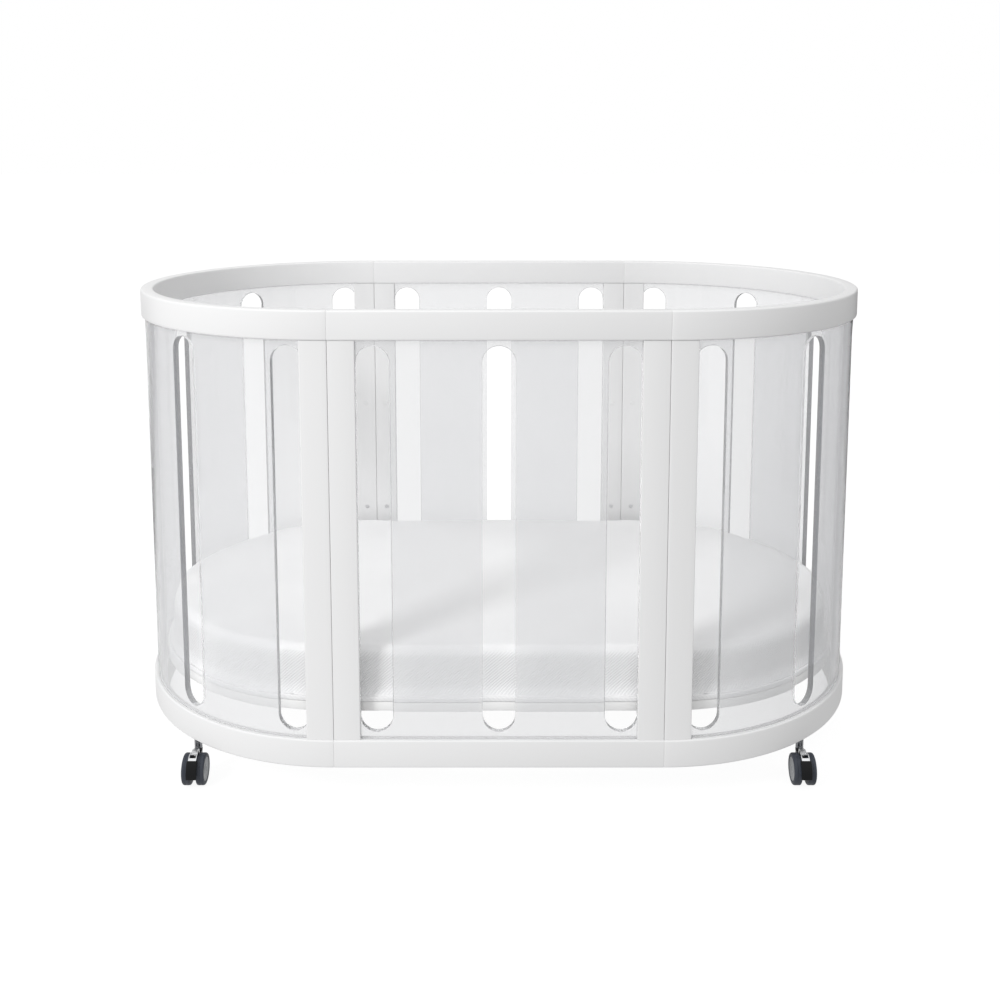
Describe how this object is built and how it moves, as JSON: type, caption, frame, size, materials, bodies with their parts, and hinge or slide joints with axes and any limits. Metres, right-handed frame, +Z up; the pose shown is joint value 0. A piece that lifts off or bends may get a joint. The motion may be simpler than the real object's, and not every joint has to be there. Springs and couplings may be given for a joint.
{
  "type": "baby crib",
  "caption": "Oval baby crib with clear slotted acrylic walls between white top and bottom rails, a fitted mattress on a flat base, and braked swivelling casters.",
  "frame": {"origin": "on the floor, under the middle of the crib", "axes": "+X along the crib's length to its right end, +Y towards its back, +Z up; the front side faces -Y"},
  "size_m": [1.262, 0.74, 0.8],
  "materials": {
    "white_lacquer": "satin white lacquer over wood",
    "clear_acrylic": "clear polished acrylic",
    "white_board": "matt white board",
    "mattress_cloth": "white knitted cover",
    "bracket_steel": "white powder coat",
    "pin_steel": "zinc plated",
    "axle_steel": "bright steel",
    "caster_chrome": "polished",
    "caster_housing": "black plastic",
    "caster_pedal": "black plastic with a bright steel arm",
    "caster_tyre": "slate grey soft tread with a grey disc"
  },
  "bodies": {
    "crib": {"top_rail_front": "white_lacquer", "bottom_rail_front": "white_lacquer", "panel_front": "clear_acrylic", "top_rail_back": "white_lacquer", "bottom_rail_back": "white_lacquer", "panel_back": "clear_acrylic", "top_rail_left": "white_lacquer", "bottom_rail_left": "white_lacquer", "panel_left": "clear_acrylic", "top_rail_right": "white_lacquer", "bottom_rail_right": "white_lacquer", "panel_right": "clear_acrylic", "side_post_front_left": "white_lacquer", "end_post_front_left": "white_lacquer", "joint_pin_front_left": "pin_steel", "base_bracket_front_left": "bracket_steel", "side_post_front_right": "white_lacquer", "end_post_front_right": "white_lacquer", "joint_pin_front_right": "pin_steel", "base_bracket_front_right": "bracket_steel", "side_post_back_left": "white_lacquer", "end_post_back_left": "white_lacquer", "joint_pin_back_left": "pin_steel", "base_bracket_back_left": "bracket_steel", "side_post_back_right": "white_lacquer", "end_post_back_right": "white_lacquer", "joint_pin_back_right": "pin_steel", "base_bracket_back_right": "bracket_steel", "base_board_left": "white_board", "base_board_middle": "white_board", "base_board_right": "white_board", "cross_bar_left": "bracket_steel", "cross_bar_right": "bracket_steel"},
    "mattress": {"mattress": "mattress_cloth"},
    "swivel_front_left": {"caster_stem_front_left": "caster_chrome", "caster_housing_front_left": "caster_housing", "caster_axle_front_left": "axle_steel"},
    "wheel_front_left_left": {"wheel_front_left_left": "caster_tyre"},
    "wheel_front_left_right": {"wheel_front_left_right": "caster_tyre"},
    "pedal_front_left": {"brake_pedal_front_left": "caster_pedal"},
    "swivel_front_right": {"caster_stem_front_right": "caster_chrome", "caster_housing_front_right": "caster_housing", "caster_axle_front_right": "axle_steel"},
    "wheel_front_right_left": {"wheel_front_right_left": "caster_tyre"},
    "wheel_front_right_right": {"wheel_front_right_right": "caster_tyre"},
    "pedal_front_right": {"brake_pedal_front_right": "caster_pedal"},
    "swivel_back_left": {"caster_stem_back_left": "caster_chrome", "caster_housing_back_left": "caster_housing", "caster_axle_back_left": "axle_steel"},
    "wheel_back_left_left": {"wheel_back_left_left": "caster_tyre"},
    "wheel_back_left_right": {"wheel_back_left_right": "caster_tyre"},
    "pedal_back_left": {"brake_pedal_back_left": "caster_pedal"},
    "swivel_back_right": {"caster_stem_back_right": "caster_chrome", "caster_housing_back_right": "caster_housing", "caster_axle_back_right": "axle_steel"},
    "wheel_back_right_left": {"wheel_back_right_left": "caster_tyre"},
    "wheel_back_right_right": {"wheel_back_right_right": "caster_tyre"},
    "pedal_back_right": {"brake_pedal_back_right": "caster_pedal"}
  },
  "joints": [
    {"name": "mattress_lift", "type": "slide", "parent": "crib", "child": "mattress", "axis": [0, 0, 1], "range_m": [0, 0.66]},
    {"name": "caster_swivel_front_left", "type": "hinge", "parent": "crib", "child": "swivel_front_left", "pos_m": [-0.50073, -0.26624, 0.06], "axis": [0, 0, 1], "continuous": true},
    {"name": "wheel_spin_front_left_left", "type": "hinge", "parent": "swivel_front_left", "child": "wheel_front_left_left", "pos_m": [-0.50598, -0.29124, 0.0254], "axis": [1, 0, 0], "continuous": true},
    {"name": "wheel_spin_front_left_right", "type": "hinge", "parent": "swivel_front_left", "child": "wheel_front_left_right", "pos_m": [-0.49548, -0.29124, 0.0254], "axis": [1, 0, 0], "continuous": true},
    {"name": "brake_pedal_press_front_left", "type": "hinge", "parent": "swivel_front_left", "child": "pedal_front_left", "pos_m": [-0.50073, -0.27974, 0.05], "axis": [1, 0, 0], "range_deg": [0, 6]},
    {"name": "caster_swivel_front_right", "type": "hinge", "parent": "crib", "child": "swivel_front_right", "pos_m": [0.50073, -0.26624, 0.06], "axis": [0, 0, 1], "continuous": true},
    {"name": "wheel_spin_front_right_left", "type": "hinge", "parent": "swivel_front_right", "child": "wheel_front_right_left", "pos_m": [0.49548, -0.29124, 0.0254], "axis": [1, 0, 0], "continuous": true},
    {"name": "wheel_spin_front_right_right", "type": "hinge", "parent": "swivel_front_right", "child": "wheel_front_right_right", "pos_m": [0.50598, -0.29124, 0.0254], "axis": [1, 0, 0], "continuous": true},
    {"name": "brake_pedal_press_front_right", "type": "hinge", "parent": "swivel_front_right", "child": "pedal_front_right", "pos_m": [0.50073, -0.27974, 0.05], "axis": [1, 0, 0], "range_deg": [0, 6]},
    {"name": "caster_swivel_back_left", "type": "hinge", "parent": "crib", "child": "swivel_back_left", "pos_m": [-0.50073, 0.26624, 0.06], "axis": [0, 0, 1], "continuous": true},
    {"name": "wheel_spin_back_left_left", "type": "hinge", "parent": "swivel_back_left", "child": "wheel_back_left_left", "pos_m": [-0.50598, 0.24124, 0.0254], "axis": [1, 0, 0], "continuous": true},
    {"name": "wheel_spin_back_left_right", "type": "hinge", "parent": "swivel_back_left", "child": "wheel_back_left_right", "pos_m": [-0.49548, 0.24124, 0.0254], "axis": [1, 0, 0], "continuous": true},
    {"name": "brake_pedal_press_back_left", "type": "hinge", "parent": "swivel_back_left", "child": "pedal_back_left", "pos_m": [-0.50073, 0.25274, 0.05], "axis": [1, 0, 0], "range_deg": [0, 6]},
    {"name": "caster_swivel_back_right", "type": "hinge", "parent": "crib", "child": "swivel_back_right", "pos_m": [0.50073, 0.26624, 0.06], "axis": [0, 0, 1], "continuous": true},
    {"name": "wheel_spin_back_right_left", "type": "hinge", "parent": "swivel_back_right", "child": "wheel_back_right_left", "pos_m": [0.49548, 0.24124, 0.0254], "axis": [1, 0, 0], "continuous": true},
    {"name": "wheel_spin_back_right_right", "type": "hinge", "parent": "swivel_back_right", "child": "wheel_back_right_right", "pos_m": [0.50598, 0.24124, 0.0254], "axis": [1, 0, 0], "continuous": true},
    {"name": "brake_pedal_press_back_right", "type": "hinge", "parent": "swivel_back_right", "child": "pedal_back_right", "pos_m": [0.50073, 0.25274, 0.05], "axis": [1, 0, 0], "range_deg": [0, 6]}
  ]
}
